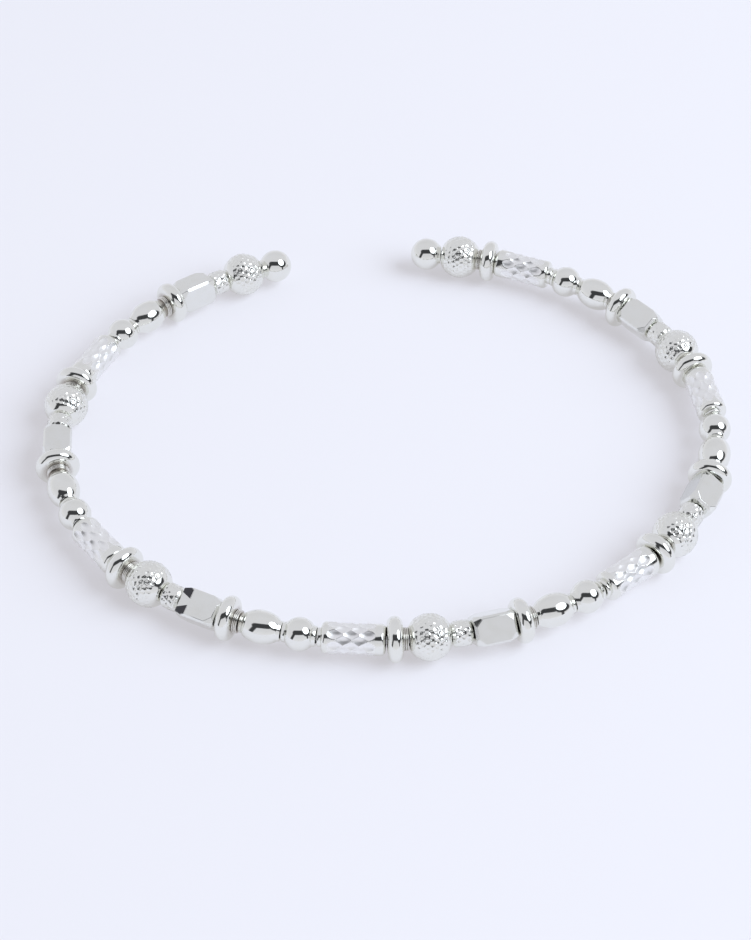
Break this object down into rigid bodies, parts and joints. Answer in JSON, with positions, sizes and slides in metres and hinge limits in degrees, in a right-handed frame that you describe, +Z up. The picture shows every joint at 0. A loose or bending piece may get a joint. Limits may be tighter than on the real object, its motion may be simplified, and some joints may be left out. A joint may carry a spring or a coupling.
{
  "type": "open beaded bangle",
  "caption": "Open C-shaped silver bangle: diamond-cut balls, ring spacers, scale-cut tubes, plain balls, oval beads and square tablets on a stiff curved wire with end balls.",
  "frame": {"origin": "on the surface that the bangle lies on, under the middle of its box", "axes": "+X along the long way of the oval, +Y from the wrist space towards the open side, +Z up, square to the plane of the oval"},
  "size_m": [0.065, 0.0548, 0.0042],
  "materials": {
    "polished_silver": "polished",
    "diamond_cut_silver": "polished, diamond-cut",
    "scale_cut_silver": "polished, with scooped cuts",
    "tablet_silver": "polished flats, light lap",
    "wire_steel": "drawn wire"
  },
  "bodies": {
    "root": {"end_ball_right": "polished_silver", "end_ball_left": "polished_silver", "cut_ball_1": "diamond_cut_silver", "cut_ball_2": "diamond_cut_silver", "cut_ball_3": "diamond_cut_silver", "cut_ball_4": "diamond_cut_silver", "cut_ball_5": "diamond_cut_silver", "cut_ball_6": "diamond_cut_silver", "cut_ball_7": "diamond_cut_silver", "ring_spacer_1": "polished_silver", "ring_spacer_2": "polished_silver", "ring_spacer_3": "polished_silver", "ring_spacer_4": "polished_silver", "ring_spacer_5": "polished_silver", "ring_spacer_6": "polished_silver", "ring_spacer_7": "polished_silver", "ring_spacer_8": "polished_silver", "ring_spacer_9": "polished_silver", "ring_spacer_10": "polished_silver", "ring_spacer_11": "polished_silver", "ring_spacer_12": "polished_silver", "scale_tube_1": "scale_cut_silver", "scale_tube_2": "scale_cut_silver", "scale_tube_3": "scale_cut_silver", "scale_tube_4": "scale_cut_silver", "scale_tube_5": "scale_cut_silver", "scale_tube_6": "scale_cut_silver", "round_ball_1": "polished_silver", "round_ball_2": "polished_silver", "round_ball_3": "polished_silver", "round_ball_4": "polished_silver", "round_ball_5": "polished_silver", "round_ball_6": "polished_silver", "oval_bead_1": "polished_silver", "oval_bead_2": "polished_silver", "oval_bead_3": "polished_silver", "oval_bead_4": "polished_silver", "oval_bead_5": "polished_silver", "oval_bead_6": "polished_silver", "tablet_1": "tablet_silver", "tablet_2": "tablet_silver", "tablet_3": "tablet_silver", "tablet_4": "tablet_silver", "tablet_5": "tablet_silver", "tablet_6": "tablet_silver", "cut_spacer_1": "diamond_cut_silver", "cut_spacer_2": "diamond_cut_silver", "cut_spacer_3": "diamond_cut_silver", "cut_spacer_4": "diamond_cut_silver", "cut_spacer_5": "diamond_cut_silver", "cut_spacer_6": "diamond_cut_silver", "core_wire": "wire_steel"}
  },
  "joints": []
}
